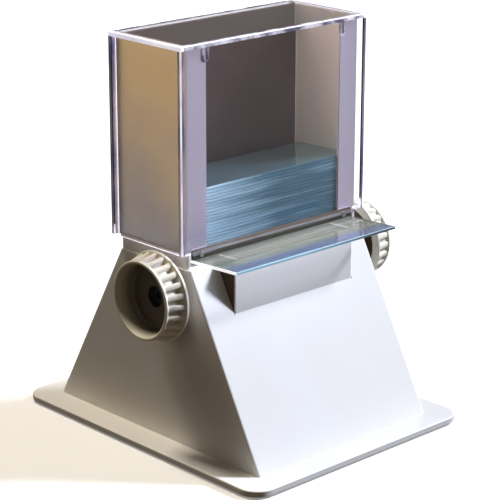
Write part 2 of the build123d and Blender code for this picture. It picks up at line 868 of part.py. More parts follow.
export_step(base_housing.part, "parts/base_housing.step")
export_step(rubber_feet.part, "parts/rubber_feet.step")
export_step(bottom_plate.part, "parts/bottom_plate.step")
export_step(bottom_screws.part, "parts/bottom_screws.step")
export_step(deck_plate.part, "parts/deck_plate.step")
export_step(deck_screws.part, "parts/deck_screws.step")
export_step(slide_magazine.part, "parts/slide_magazine.step")
export_step(magazine_screws.part, "parts/magazine_screws.step")
export_step(gate_bar.part, "parts/gate_bar.step")
export_step(gate_screws.part, "parts/gate_screws.step")
export_step(clear_cover.part, "parts/clear_cover.step")
export_step(slide_stack.part, "parts/slide_stack.step")
export_step(dispensed_slide, "parts/dispensed_slide.step")
export_step(drive_shaft.part, "parts/drive_shaft.step")
export_step(retaining_rings.part, "parts/retaining_rings.step")
export_step(set_screws.part, "parts/set_screws.step")
export_step(thrust_washers.part, "parts/thrust_washers.step")
export_step(knob_screws.part, "parts/knob_screws.step")
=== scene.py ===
"""Microscope slide dispenser: finishes, turned knobs, glass slides, clear cover and studio."""
import json
import math
from math import cos, pi, radians, sin

import bmesh
import bpy
from bpy.props import FloatProperty, FloatVectorProperty, IntProperty, PointerProperty
from mathutils import Matrix, Vector


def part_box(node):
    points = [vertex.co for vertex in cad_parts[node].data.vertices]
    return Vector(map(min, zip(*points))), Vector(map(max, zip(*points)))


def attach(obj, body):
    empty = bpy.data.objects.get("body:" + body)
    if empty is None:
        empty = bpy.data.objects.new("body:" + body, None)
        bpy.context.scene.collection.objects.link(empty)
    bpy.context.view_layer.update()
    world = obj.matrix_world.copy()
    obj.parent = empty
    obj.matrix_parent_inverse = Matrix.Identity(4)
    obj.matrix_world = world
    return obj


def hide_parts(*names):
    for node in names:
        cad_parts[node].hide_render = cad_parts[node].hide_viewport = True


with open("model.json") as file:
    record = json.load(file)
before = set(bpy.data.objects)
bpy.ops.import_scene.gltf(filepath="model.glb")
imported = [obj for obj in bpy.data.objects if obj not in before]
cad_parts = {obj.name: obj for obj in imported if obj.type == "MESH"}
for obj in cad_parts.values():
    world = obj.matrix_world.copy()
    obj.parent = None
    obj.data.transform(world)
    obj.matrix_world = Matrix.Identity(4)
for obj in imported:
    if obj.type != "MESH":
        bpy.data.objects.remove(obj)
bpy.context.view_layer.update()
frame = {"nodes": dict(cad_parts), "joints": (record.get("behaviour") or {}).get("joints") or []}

bl_info = {
    "name": "Microscope slide dispenser",
    "version": (1, 0, 0),
    "blender": (4, 5, 0),
    "location": "View3D > Sidebar > Dispenser",
    "description": "Dresses and completes the slide dispenser around its measured frame",
    "category": "Object",
}

MM = 0.001

# the camera that took the photo, measured from it
PHOTO_SIDE = 500
FOCAL_PIXELS = 1922.24
SENSOR_WIDTH = 36.0
CAMERA_TARGET = (4.352 * MM, 0.0, 59.544 * MM)
CAMERA_DISTANCE = 680.0 * MM
CAMERA_TURN, CAMERA_LIFT, CAMERA_ROLL = -43.433, 17.730, 0.147

# softboxes: name, degrees round from the front, degrees up, metres away, side in metres, watts
SOFTBOX_TARGET = (0.0, 0.0, 70.0 * MM)
SOFTBOXES = (
    ("key_softbox", 62, 38, 4.0, 0.6, 318.0, "#E4ECFF"),
    ("top_softbox", -165, 62, 3.0, 0.6, 74.0, "#FFF6E6"),
    ("fill_softbox", -80, 30, 3.0, 1.5, 3.0, "#FFF2E6"),
)

# the cover's materials, in the order of its slots
CLEAR_WALL, BRIGHT_EDGE, BROKEN_EDGE, UPRIGHT_EDGE = range(4)


# ------------------------------------------------------------------ colours and nodes


def linear(hex_colour):
    """Linear RGBA of an sRGB hex colour."""
    parts = [int(hex_colour[place:place + 2], 16) / 255 for place in (1, 3, 5)]
    curve = [c / 12.92 if c <= 0.04045 else ((c + 0.055) / 1.055) ** 2.4 for c in parts]
    return (*curve, 1.0)


def per_mm(size):
    """Texture scale whose features are this many millimetres across."""
    return 1 / (size * MM)


def add_node(tree, kind, inputs=None, **settings):
    """Add a node, set its properties, and fill or link its inputs."""
    node = tree.nodes.new(kind)
    for name, value in settings.items():
        setattr(node, name, value)
    for socket, value in (inputs or {}).items():
        if isinstance(value, bpy.types.NodeSocket):
            tree.links.new(value, node.inputs[socket])
        else:
            node.inputs[socket].default_value = value
    return node


def start_material(name):
    """An empty material with the object's own coordinates and an output."""
    material = bpy.data.materials.new(name)
    material.use_nodes = True
    tree = material.node_tree
    tree.nodes.clear()
    place = add_node(tree, "ShaderNodeTexCoord").outputs["Object"]
    output = add_node(tree, "ShaderNodeOutputMaterial")
    return material, tree, place, output


# ------------------------------------------------------------------ materials


def within(tree, value, middle, half):
    """1 where a coordinate lies within half of middle, else 0."""
    return add_node(tree, "ShaderNodeMath", {
        0: value, 1: middle, 2: half,
    }, operation="COMPARE").outputs[0]


def product(tree, first, second):
    """Two sockets multiplied."""
    return add_node(tree, "ShaderNodeMath", {0: first, 1: second}, operation="MULTIPLY").outputs[0]


def distance_from_middle(tree, place):
    """How far a point lies from the middle of the object's width."""
    at = add_node(tree, "ShaderNodeSeparateXYZ", {"Vector": place})
    across = add_node(tree, "ShaderNodeMath", {0: at.outputs["X"]}, operation="ABSOLUTE")
    return across.outputs[0]


def painted_cup_shade(tree, place):
    """Painted shade that darkens the inside of a knob's cup towards its floor."""
    mouth_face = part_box("right_knob")[1][0]
    middle = box_middle("right_knob")
    cup_radius, unshaded_depth, full_shade_depth = 12.7 * MM, 1.5 * MM, 6.0 * MM
    across = distance_from_middle(tree, place)
    from_shaft = add_node(tree, "ShaderNodeVectorMath", {
        0: place, 1: (0, middle.y, middle.z),
    }, operation="SUBTRACT")
    flat = add_node(tree, "ShaderNodeVectorMath", {
        0: from_shaft.outputs[0], 1: (0, 1, 1),
    }, operation="MULTIPLY")
    radius = add_node(tree, "ShaderNodeVectorMath", {0: flat.outputs[0]}, operation="LENGTH")
    inside = add_node(tree, "ShaderNodeMath", {
        0: radius.outputs["Value"], 1: cup_radius,
    }, operation="LESS_THAN")
    # painted shade: none near the mouth, full towards the cup's floor
    depth = add_node(tree, "ShaderNodeMapRange", {
        "Value": across, "From Min": mouth_face - unshaded_depth,
        "From Max": mouth_face - full_shade_depth,
    })
    return product(tree, inside.outputs[0], depth.outputs["Result"])


def painted_cheek_shade(tree, place):
    """Painted shade on the two small cheeks of the landing, under the fed-out slide."""
    landing_half, landing_middle, body_front = 28.2 * MM, 60.0 * MM, -18.0 * MM
    at = add_node(tree, "ShaderNodeSeparateXYZ", {"Vector": place})
    cheek = within(tree, distance_from_middle(tree, place), landing_half, 0.12 * MM)
    high_up = within(tree, at.outputs["Z"], landing_middle, 10.0 * MM)
    ahead = add_node(tree, "ShaderNodeMath", {
        0: at.outputs["Y"], 1: body_front,
    }, operation="LESS_THAN")
    return product(tree, product(tree, cheek, high_up), ahead.outputs[0])


def backdrop_share(tree, first_depth):
    """How much of the pale backdrop a ray meets: all of it where the backdrop is seen directly
    or through clear walls, over half of it in the steel behind such walls, little in other
    mirrors, and none in the light that falls on the pieces or in the clear walls' reflections.
    The Ray Depth of a ray straight from the camera is 0 on the floor and 1 in the world, and a
    ray that reached the steel through a wall and came back has passed four faces."""
    steel_share, mirror_share, wall_faces = 0.55, 0.15, 4
    path = add_node(tree, "ShaderNodeLightPath")
    turns = add_node(tree, "ShaderNodeMath", {
        0: path.outputs["Ray Depth"], 1: path.outputs["Transmission Depth"],
    }, operation="SUBTRACT")
    straight = add_node(tree, "ShaderNodeMath", {
        0: turns.outputs[0], 1: first_depth + 0.5,
    }, operation="LESS_THAN")
    behind_walls = add_node(tree, "ShaderNodeMath", {
        0: path.outputs["Transmission Depth"], 1: wall_faces - 0.5,
    }, operation="GREATER_THAN")
    seen = add_node(tree, "ShaderNodeMath", {
        0: straight.outputs[0], 1: product(tree, behind_walls.outputs[0], steel_share),
    }, operation="MAXIMUM")
    return add_node(tree, "ShaderNodeMath", {
        0: seen.outputs[0], 1: product(tree, path.outputs["Is Glossy Ray"], mirror_share),
    }, operation="MAXIMUM").outputs[0]


def moulded_abs(name, colour, deep_colour, painted_shade_mask, painted_shade_colour, grain=0.35, roughness=0.42):
    """Injection-moulded ABS: opaque cream plastic with a fine spark-eroded grain, a soft sheen, a little
    uneven yellowing, and painted shade where the given function puts it."""
    material, tree, place, output = start_material(name)
    cloud = add_node(tree, "ShaderNodeTexNoise", {
        "Vector": place, "Scale": per_mm(38), "Detail": 3.0, "Roughness": 0.55,
    })
    aged = add_node(tree, "ShaderNodeMix", {
        "Factor": cloud.outputs["Fac"], "A": colour, "B": deep_colour,
    }, data_type="RGBA")
    # painted shade, mixed in where the given mask puts it
    tone = add_node(tree, "ShaderNodeMix", {
        "Factor": painted_shade_mask(tree, place), "A": aged.outputs[2], "B": painted_shade_colour,
    }, data_type="RGBA")
    fine = add_node(tree, "ShaderNodeTexNoise", {
        "Vector": place, "Scale": per_mm(grain), "Detail": 2.0,
    })
    gloss = add_node(tree, "ShaderNodeMapRange", {
        "Value": cloud.outputs["Fac"], "To Min": roughness - 0.06, "To Max": roughness + 0.08,
    })
    bump = add_node(tree, "ShaderNodeBump", {
        "Height": fine.outputs["Fac"], "Strength": 0.25, "Distance": 0.03 * MM,
    })
    shader = add_node(tree, "ShaderNodeBsdfPrincipled", {
        "Base Color": tone.outputs[2], "Roughness": gloss.outputs["Result"],
        "Normal": bump.outputs["Normal"], "IOR": 1.53,
    })
    tree.links.new(shader.outputs[0], output.inputs["Surface"])
    return material


def rolled_steel(name, front, side_low_reflection, side_high_reflection, inside, back_low_shade, back_high_shade):
    """Rolled stainless sheet, brushed upright: cool grey in front, a gold painted reflection on its
    sides that fades downwards, near-white painted light on its inner walls, and a brown back wall that
    is painted shade, darker towards the top."""
    material, tree, place, output = start_material(name)
    low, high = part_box("slide_magazine")
    sheet = 0.8 * MM
    back_face = 15.0 * MM
    at = add_node(tree, "ShaderNodeSeparateXYZ", {"Vector": place})
    across = distance_from_middle(tree, place)
    cloud = add_node(tree, "ShaderNodeTexNoise", {
        "Vector": place, "Scale": per_mm(30), "Detail": 3.0, "Roughness": 0.5,
    })
    height = add_node(tree, "ShaderNodeMapRange", {
        "Value": at.outputs["Z"], "From Min": low[2], "From Max": high[2],
    })
    drifted = add_node(tree, "ShaderNodeMath", {
        0: height.outputs["Result"], 1: cloud.outputs["Fac"],
    }, operation="ADD")
    rise = add_node(tree, "ShaderNodeMapRange", {
        "Value": drifted.outputs[0], "From Min": 0.5, "From Max": 1.5,
    })

    def blend(factor, first, second):
        return add_node(tree, "ShaderNodeMix", {
            "Factor": factor, "A": first, "B": second,
        }, data_type="RGBA").outputs[2]

    # by height: painted reflection on the sides and painted shade on the back wall
    side = blend(rise.outputs["Result"], side_low_reflection, side_high_reflection)
    back = blend(rise.outputs["Result"], back_low_shade, back_high_shade)
    behind_front = add_node(tree, "ShaderNodeMath", {
        0: at.outputs["Y"], 1: low[1] + 0.5 * sheet,
    }, operation="GREATER_THAN")
    between_sides = add_node(tree, "ShaderNodeMath", {
        0: across, 1: high[0] - 0.5 * sheet,
    }, operation="LESS_THAN")
    on_back = within(tree, at.outputs["Y"], back_face, 1.2 * sheet)
    tone = blend(behind_front.outputs[0], front, side)
    inner = product(tree, behind_front.outputs[0], between_sides.outputs[0])
    tone = blend(inner, tone, inside)
    tone = blend(product(tree, on_back, between_sides.outputs[0]), tone, back)

    stretched = add_node(tree, "ShaderNodeMapping", {"Vector": place, "Scale": (1, 1, 0.03)})
    streak = add_node(tree, "ShaderNodeTexNoise", {
        "Vector": stretched.outputs[0], "Scale": per_mm(0.5), "Detail": 3.0, "Roughness": 0.6,
    })
    gloss = add_node(tree, "ShaderNodeMapRange", {
        "Value": streak.outputs["Fac"], "To Min": 0.36, "To Max": 0.46,
    })
    bump = add_node(tree, "ShaderNodeBump", {
        "Height": streak.outputs["Fac"], "Strength": 0.04, "Distance": 0.01 * MM,
    })
    # inside, the metal share drops so that the near-white base shows: painted light on the inner walls
    film = add_node(tree, "ShaderNodeMapRange", {
        "Value": inner, "To Min": 1.0, "To Max": 0.6,
    })
    shader = add_node(tree, "ShaderNodeBsdfPrincipled", {
        "Base Color": tone, "Metallic": film.outputs["Result"],
        "Roughness": gloss.outputs["Result"],
        "Normal": bump.outputs["Normal"],
    })
    tree.links.new(shader.outputs[0], output.inputs["Surface"])
    return material


def drawn_strip(name, upper, middle, lower):
    """Drawn stainless strip of the gate: bands from the die along its length, and tones by height, brown
    above, light in the middle and dark below, where the dark lower band is painted shade."""
    material, tree, place, output = start_material(name)
    low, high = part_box("gate_bar")
    at = add_node(tree, "ShaderNodeSeparateXYZ", {"Vector": place})
    long = add_node(tree, "ShaderNodeMapping", {"Vector": place, "Scale": (0.02, 1, 1)})
    line = add_node(tree, "ShaderNodeTexNoise", {
        "Vector": long.outputs[0], "Scale": per_mm(0.9), "Detail": 3.0, "Roughness": 0.6,
    })
    height = add_node(tree, "ShaderNodeMapRange", {
        "Value": at.outputs["Z"], "From Min": low[2], "From Max": high[2],
    })
    uneven = add_node(tree, "ShaderNodeMapRange", {
        "Value": line.outputs["Fac"], "From Min": 0.3, "From Max": 0.7,
        "To Min": -0.18, "To Max": 0.18,
    })
    share = add_node(tree, "ShaderNodeMath", {
        0: height.outputs["Result"], 1: uneven.outputs["Result"],
    }, operation="ADD")
    # tones by height: brown above, light in the middle, and a dark lower band that is painted shade
    bands = add_node(tree, "ShaderNodeValToRGB", {"Fac": share.outputs[0]})
    ramp = bands.color_ramp
    ramp.elements[0].position, ramp.elements[0].color = 0.28, lower
    ramp.elements[1].position, ramp.elements[1].color = 0.82, upper
    centre = ramp.elements.new(0.55)
    centre.color = middle
    gloss = add_node(tree, "ShaderNodeMapRange", {
        "Value": line.outputs["Fac"], "To Min": 0.25, "To Max": 0.4,
    })
    shader = add_node(tree, "ShaderNodeBsdfPrincipled", {
        "Base Color": bands.outputs["Color"], "Metallic": 1.0, "Roughness": gloss.outputs["Result"],
    })
    tree.links.new(shader.outputs[0], output.inputs["Surface"])
    return material


def turned_steel(name, colour, roughness):
    """Turned bright steel: fine rings from the lathe under a dull polish."""
    material, tree, place, output = start_material(name)
    rings = add_node(tree, "ShaderNodeTexNoise", {
        "Vector": place, "Scale": per_mm(0.3), "Detail": 2.0,
    })
    gloss = add_node(tree, "ShaderNodeMapRange", {
        "Value": rings.outputs["Fac"], "To Min": roughness - 0.05, "To Max": roughness + 0.08,
    })
    shader = add_node(tree, "ShaderNodeBsdfPrincipled", {
        "Base Color": colour, "Metallic": 1.0, "Roughness": gloss.outputs["Result"],
    })
    tree.links.new(shader.outputs[0], output.inputs["Surface"])
    return material


def soft_rubber(name, colour, grain):
    """Moulded rubber: almost matt, with a dusty uneven surface."""
    material, tree, place, output = start_material(name)
    dust = add_node(tree, "ShaderNodeTexNoise", {
        "Vector": place, "Scale": per_mm(grain), "Detail": 5.0,
    })
    tone = add_node(tree, "ShaderNodeMix", {
        "Factor": dust.outputs["Fac"], "A": colour, "B": linear("#55524E"),
    }, data_type="RGBA")
    bump = add_node(tree, "ShaderNodeBump", {
        "Height": dust.outputs["Fac"], "Strength": 0.3, "Distance": 0.05 * MM,
    })
    shader = add_node(tree, "ShaderNodeBsdfPrincipled", {
        "Base Color": tone.outputs[2], "Roughness": 0.8, "Normal": bump.outputs["Normal"],
        "IOR": 1.52,
    })
    tree.links.new(shader.outputs[0], output.inputs["Surface"])
    return material


def clear_plastic(name, tint, passed):
    """Clear moulded SAN: a faint cool tint in its edges and hairline scuffs. Shadow rays pass
    it, dimmed, as light through a thin clear wall does."""
    material, tree, place, output = start_material(name)
    scuff = add_node(tree, "ShaderNodeTexNoise", {
        "Vector": place, "Scale": per_mm(6), "Detail": 6.0, "Roughness": 0.7,
    })
    gloss = add_node(tree, "ShaderNodeMapRange", {
        "Value": scuff.outputs["Fac"], "From Min": 0.45, "From Max": 0.8,
        "To Min": 0.0, "To Max": 0.015,
    })
    shader = add_node(tree, "ShaderNodeBsdfPrincipled", {
        "Base Color": tint, "Roughness": gloss.outputs["Result"], "IOR": 1.57,
        "Transmission Weight": 1.0,
    })
    passing = add_node(tree, "ShaderNodeBsdfTransparent", {"Color": passed})
    path = add_node(tree, "ShaderNodeLightPath")
    mixed = add_node(tree, "ShaderNodeMixShader", {
        0: path.outputs["Is Shadow Ray"], 1: shader.outputs[0], 2: passing.outputs[0],
    })
    tree.links.new(mixed.outputs[0], output.inputs["Surface"])
    return material


def ground_edges(name, light_tint, deep_tint, half_width):
    """Ground edges of many slides in a row: frosted soda-lime glass, blue-green, darker towards +X as
    painted shade, with one slide a little lighter or darker than the next."""
    material, tree, place, output = start_material(name)
    across = add_node(tree, "ShaderNodeSeparateXYZ", {"Vector": place})
    layered = add_node(tree, "ShaderNodeMapping", {"Vector": place, "Scale": (0.04, 0.04, 1)})
    streak = add_node(tree, "ShaderNodeTexNoise", {
        "Vector": layered.outputs[0], "Scale": per_mm(1.6), "Detail": 3.0, "Roughness": 0.6,
    })
    # painted shade: darker from the left end to just right of the middle
    drift = add_node(tree, "ShaderNodeMapRange", {
        "Value": across.outputs["X"], "From Min": -half_width, "From Max": half_width * 0.15,
    })
    uneven = add_node(tree, "ShaderNodeMapRange", {
        "Value": streak.outputs["Fac"], "From Min": 0.3, "From Max": 0.7,
        "To Min": -0.3, "To Max": 0.3,
    })
    share = add_node(tree, "ShaderNodeMath", {
        0: drift.outputs["Result"], 1: uneven.outputs["Result"],
    }, operation="ADD", use_clamp=True)
    tone = add_node(tree, "ShaderNodeMix", {
        "Factor": share.outputs[0], "A": light_tint, "B": deep_tint,
    }, data_type="RGBA")
    gloss = add_node(tree, "ShaderNodeMapRange", {
        "Value": streak.outputs["Fac"], "To Min": 0.6, "To Max": 0.85,
    })
    shader = add_node(tree, "ShaderNodeBsdfPrincipled", {
        "Base Color": tone.outputs[2], "Roughness": gloss.outputs["Result"], "IOR": 1.52,
    })
    tree.links.new(shader.outputs[0], output.inputs["Surface"])
    return material


def layered_glass(name, tint):
    """Polished faces of many slides under each other: the layers together mirror like a sheet
    of tinted metal."""
    material, tree, place, output = start_material(name)
    smear = add_node(tree, "ShaderNodeTexNoise", {
        "Vector": place, "Scale": per_mm(9), "Detail": 4.0,
    })
    gloss = add_node(tree, "ShaderNodeMapRange", {
        "Value": smear.outputs["Fac"], "To Min": 0.05, "To Max": 0.16,
    })
    shader = add_node(tree, "ShaderNodeBsdfPrincipled", {
        "Base Color": tint, "Roughness": gloss.outputs["Result"], "Metallic": 0.8,
    })
    tree.links.new(shader.outputs[0], output.inputs["Surface"])
    return material


def dusty_glass(name, dust, painted_reflection_tone, front, width, passed):
    """Polished face of one glass slide under a film of dust and grease: streaks along its length, and a
    cooler strip next to the front edge that is a painted reflection."""
    material, tree, place, output = start_material(name)
    at = add_node(tree, "ShaderNodeSeparateXYZ", {"Vector": place})
    long = add_node(tree, "ShaderNodeMapping", {"Vector": place, "Scale": (0.05, 1, 1)})
    streak = add_node(tree, "ShaderNodeTexNoise", {
        "Vector": long.outputs[0], "Scale": per_mm(2.5), "Detail": 4.0, "Roughness": 0.6,
    })
    # painted reflection: a cooler strip along the front edge
    strip = add_node(tree, "ShaderNodeMapRange", {
        "Value": at.outputs["Y"], "From Min": front + 0.7 * width, "From Max": front + width,
        "To Min": 1.0, "To Max": 0.0,
    })
    tone = add_node(tree, "ShaderNodeMix", {
        "Factor": strip.outputs["Result"], "A": dust, "B": painted_reflection_tone,
    }, data_type="RGBA")
    film = add_node(tree, "ShaderNodeMapRange", {
        "Value": streak.outputs["Fac"], "From Min": 0.3, "From Max": 0.7,
        "To Min": 0.5, "To Max": 0.8,
    })
    shader = add_node(tree, "ShaderNodeBsdfPrincipled", {
        "Base Color": tone.outputs[2], "Roughness": 0.04, "IOR": 1.52,
        "Transmission Weight": film.outputs["Result"],
    })
    passing = add_node(tree, "ShaderNodeBsdfTransparent", {"Color": passed})
    path = add_node(tree, "ShaderNodeLightPath")
    mixed = add_node(tree, "ShaderNodeMixShader", {
        0: path.outputs["Is Shadow Ray"], 1: shader.outputs[0], 2: passing.outputs[0],
    })
    tree.links.new(mixed.outputs[0], output.inputs["Surface"])
    return material


def frosted_edge(name, left_tint, right_tint, half_length, painted_glow):
    """Ground edge of a glass slide: frosted, with a painted glow from its emission and a tint that runs
    from the left tint to the right tint along its length, darker at the right end as painted shade."""
    material, tree, place, output = start_material(name)
    at = add_node(tree, "ShaderNodeSeparateXYZ", {"Vector": place})
    run = add_node(tree, "ShaderNodeMapRange", {
        "Value": at.outputs["X"], "From Min": -0.2 * half_length, "From Max": 0.75 * half_length,
    })
    tint = add_node(tree, "ShaderNodeMix", {
        "Factor": run.outputs["Result"], "A": left_tint, "B": right_tint,
    }, data_type="RGBA")
    grit = add_node(tree, "ShaderNodeTexNoise", {
        "Vector": place, "Scale": per_mm(0.2), "Detail": 2.0,
    })
    bump = add_node(tree, "ShaderNodeBump", {
        "Height": grit.outputs["Fac"], "Strength": 0.2, "Distance": 0.02 * MM,
    })
    # the emission is a painted glow; the tint darkens to the right as painted shade
    shader = add_node(tree, "ShaderNodeBsdfPrincipled", {
        "Base Color": tint.outputs[2], "Roughness": 0.4, "IOR": 1.52,
        "Transmission Weight": 0.2, "Normal": bump.outputs["Normal"],
        "Emission Color": tint.outputs[2], "Emission Strength": painted_glow,
    })
    tree.links.new(shader.outputs[0], output.inputs["Surface"])
    return material


def painted_highlight_edge(name, light, shade, length, clearness, painted_glow):
    """Polished edge of a clear moulding, drawn as a painted highlight: a white to slate-blue line with a
    painted glow that changes along its length."""
    material, tree, place, output = start_material(name)
    run = add_node(tree, "ShaderNodeTexNoise", {
        "Vector": place, "Scale": per_mm(length), "Detail": 3.0, "Roughness": 0.6,
    })
    share = add_node(tree, "ShaderNodeMapRange", {
        "Value": run.outputs["Fac"], "From Min": 0.42, "From Max": 0.62,
    })
    tone = add_node(tree, "ShaderNodeMix", {
        "Factor": share.outputs["Result"], "A": light, "B": shade,
    }, data_type="RGBA")
    # the emission is a painted highlight along the edge
    shader = add_node(tree, "ShaderNodeBsdfPrincipled", {
        "Base Color": tone.outputs[2], "Roughness": 0.2, "IOR": 1.57,
        "Transmission Weight": clearness, "Emission Color": tone.outputs[2],
        "Emission Strength": painted_glow,
    })
    tree.links.new(shader.outputs[0], output.inputs["Surface"])
    return material


def painted_shade_bore(name, colour):
    """Bore of a knob, coloured near black as painted shade in the hole."""
    material, tree, place, output = start_material(name)
    dust = add_node(tree, "ShaderNodeTexNoise", {
        "Vector": place, "Scale": per_mm(0.6), "Detail": 4.0,
    })
    gloss = add_node(tree, "ShaderNodeMapRange", {
        "Value": dust.outputs["Fac"], "To Min": 0.6, "To Max": 0.9,
    })
    shader = add_node(tree, "ShaderNodeBsdfPrincipled", {
        "Base Color": colour, "Roughness": gloss.outputs["Result"], "IOR": 1.5,
    })
    tree.links.new(shader.outputs[0], output.inputs["Surface"])
    return material


def acetal_resin(name, colour):
    """Machined acetal: waxy white plastic with a low sheen."""
    material, tree, place, output = start_material(name)
    cloud = add_node(tree, "ShaderNodeTexNoise", {
        "Vector": place, "Scale": per_mm(4), "Detail": 2.0,
    })
    gloss = add_node(tree, "ShaderNodeMapRange", {
        "Value": cloud.outputs["Fac"], "To Min": 0.3, "To Max": 0.42,
    })
    shader = add_node(tree, "ShaderNodeBsdfPrincipled", {
        "Base Color": colour, "Roughness": gloss.outputs["Result"], "IOR": 1.48,
        "Subsurface Weight": 0.1, "Subsurface Radius": (1 * MM, 1 * MM, 1 * MM),
    })
    tree.links.new(shader.outputs[0], output.inputs["Surface"])
    return material


# ------------------------------------------------------------------ shared work on pieces


def dress(node, material):
    """Give a measured piece its finish."""
    mesh = frame["nodes"][node].data
    if not mesh.materials:
        mesh.materials.append(material)
    for place in range(len(mesh.materials)):
        mesh.materials[place] = material
    for slot in frame["nodes"][node].material_slots:
        slot.material = material


def finish_piece(bm, name, body, materials, nodes, smooth=True):
    """Turn a finished bmesh into a piece that rides on a body and stands for its node."""
    bmesh.ops.remove_doubles(bm, verts=bm.verts, dist=0.001 * MM)
    bmesh.ops.recalc_face_normals(bm, faces=bm.faces)
    mesh = bpy.data.meshes.new(name)
    for face in bm.faces:
        face.smooth = smooth
    bm.to_mesh(mesh)
    bm.free()
    for material in materials:
        mesh.materials.append(material)
    piece = bpy.data.objects.new(name, mesh)
    bpy.context.scene.collection.objects.link(piece)
    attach(piece, body)
    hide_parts(*nodes)
    return piece


def box_middle(node):
    """The middle of a measured piece."""
    low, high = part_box(node)
    return (Vector(low) + Vector(high)) / 2


def smooth_step(value):
    """0 to 1 with level ends."""
    value = min(max(value, 0.0), 1.0)
    return value * value * (3 - 2 * value)


def bevel_edges(bm, edges, width, segments=3):
    """Round a set of edges."""
    bmesh.ops.bevel(
        bm, geom=edges, offset=width, segments=segments, profile=0.5, affect="EDGES",
        material=-1,
    )


def carve(piece, cutter):
    """Cut one piece out of another and throw the cutter away."""
    cut = piece.modifiers.new("carve", "BOOLEAN")
    cut.operation = "DIFFERENCE"
    cut.solver = "EXACT"
    cut.object = cutter
    graph = bpy.context.evaluated_depsgraph_get()
    carved = bpy.data.meshes.new_from_object(piece.evaluated_get(graph))
    piece.modifiers.clear()
    old = piece.data
    piece.data = carved
    carved.name = old.name
    bpy.data.meshes.remove(old)
    cutter_mesh = cutter.data
    bpy.data.objects.remove(cutter)
    bpy.data.meshes.remove(cutter_mesh)


# ------------------------------------------------------------------ sizes and colours


class DispenserSizes(bpy.types.PropertyGroup):
    """Sizes that a user may change."""

    rib_count: IntProperty(
        name="Ribs", description="Ribs round each knob", default=24, min=6, max=60,
    )
    rib_share: FloatProperty(
        name="Rib share", description="Share of the knob's edge that the rib tops take",
        default=0.5, min=0.1, max=0.8,
    )
    rib_wall: FloatProperty(
        name="Rib wall", description="Share of a rib's pitch over which its side falls",
        default=0.08, min=0.02, max=0.3,
    )
    rib_round: FloatProperty(
        name="Rib round", description="How far a rib's top falls at its edges",
        default=0.22 * MM, unit="LENGTH",
    )
    pocket_radius: FloatProperty(
        name="Pocket radius", description="Radius of the floor between the ribs",
        default=12.75 * MM, unit="LENGTH",
    )
    pocket_crown: FloatProperty(
        name="Pocket crown", description="How far the pocket's floor swells in its middle",
        default=0.5 * MM, unit="LENGTH",
    )
    knob_round: FloatProperty(
        name="Knob edge", description="Round of the knob's flange and mouth",
        default=0.35 * MM, unit="LENGTH",
    )
    cover_wall: FloatProperty(
        name="Cover wall", description="Wall of the clear cover", default=1.5 * MM, unit="LENGTH",
    )
    cover_edge: FloatProperty(
        name="Cover edge", description="Round of the cover's outer edges",
        default=0.45 * MM, unit="LENGTH",
    )
    slide_count: IntProperty(
        name="Slides", description="Slides in the stack", default=21, min=1, max=50,
    )
    slide_edge: FloatProperty(
        name="Slide edge", description="Width of the ground bevel of a slide",
        default=0.15 * MM, unit="LENGTH",
    )
    floor_radius: FloatProperty(
        name="Floor radius", description="Radius of the studio floor", default=6.0, unit="LENGTH",
    )


class DispenserColours(bpy.types.PropertyGroup):
    """Colours that a user may change."""

    housing: FloatVectorProperty(
        name="Housing", description="Off-white of the moulded base", subtype="COLOR",
        size=4, default=linear("#E8E7E6"),
    )
    knob: FloatVectorProperty(
        name="Knobs", description="Cream of the knobs", subtype="COLOR",
        size=4, default=linear("#E4DFD0"),
    )
    cover: FloatVectorProperty(
        name="Cover", description="Tint of the clear cover", subtype="COLOR",
        size=4, default=linear("#F8F6FD"),
    )
    glass: FloatVectorProperty(
        name="Glass", description="Tone of the fed-out slide's dusty faces", subtype="COLOR",
        size=4, default=linear("#A4A698"),
    )
    floor: FloatVectorProperty(
        name="Floor", description="Pale studio floor", subtype="COLOR",
        size=4, default=linear("#E8E6E2"),
    )


# ------------------------------------------------------------------ shapes


def lay_slide(bm, middle, edge):
    """Add one slide, with ground and bevelled edges, on the deck's slope."""
    length, width, thickness = 76.0 * MM, 26.0 * MM, 1.0 * MM
    new = bmesh.ops.create_cube(bm, size=1.0)["verts"]
    bmesh.ops.scale(bm, vec=(length, width, thickness), verts=new)
    edges = list({each for vert in new for each in vert.link_edges})
    made = bmesh.ops.bevel(
        bm, geom=edges, offset=edge, segments=1, profile=0.5, affect="EDGES", material=-1,
    )
    verts = list({vert for face in made["faces"] for vert in face.verts})
    for face in {face for vert in verts for face in vert.link_faces}:
        face.normal_update()
        along, _, up = (abs(part) for part in face.normal)
        face.material_index = 0 if up > 0.9 else 2 if along > 0.6 else 1
    feed = next(joint for joint in frame["joints"] if joint["name"] == "slide_feed")
    tilt = math.atan2(feed["axis"][2], -feed["axis"][1])
    bmesh.ops.rotate(bm, cent=(0, 0, 0), matrix=Matrix.Rotation(-tilt, 3, "X"), verts=verts)
    bmesh.ops.translate(bm, vec=middle, verts=verts)


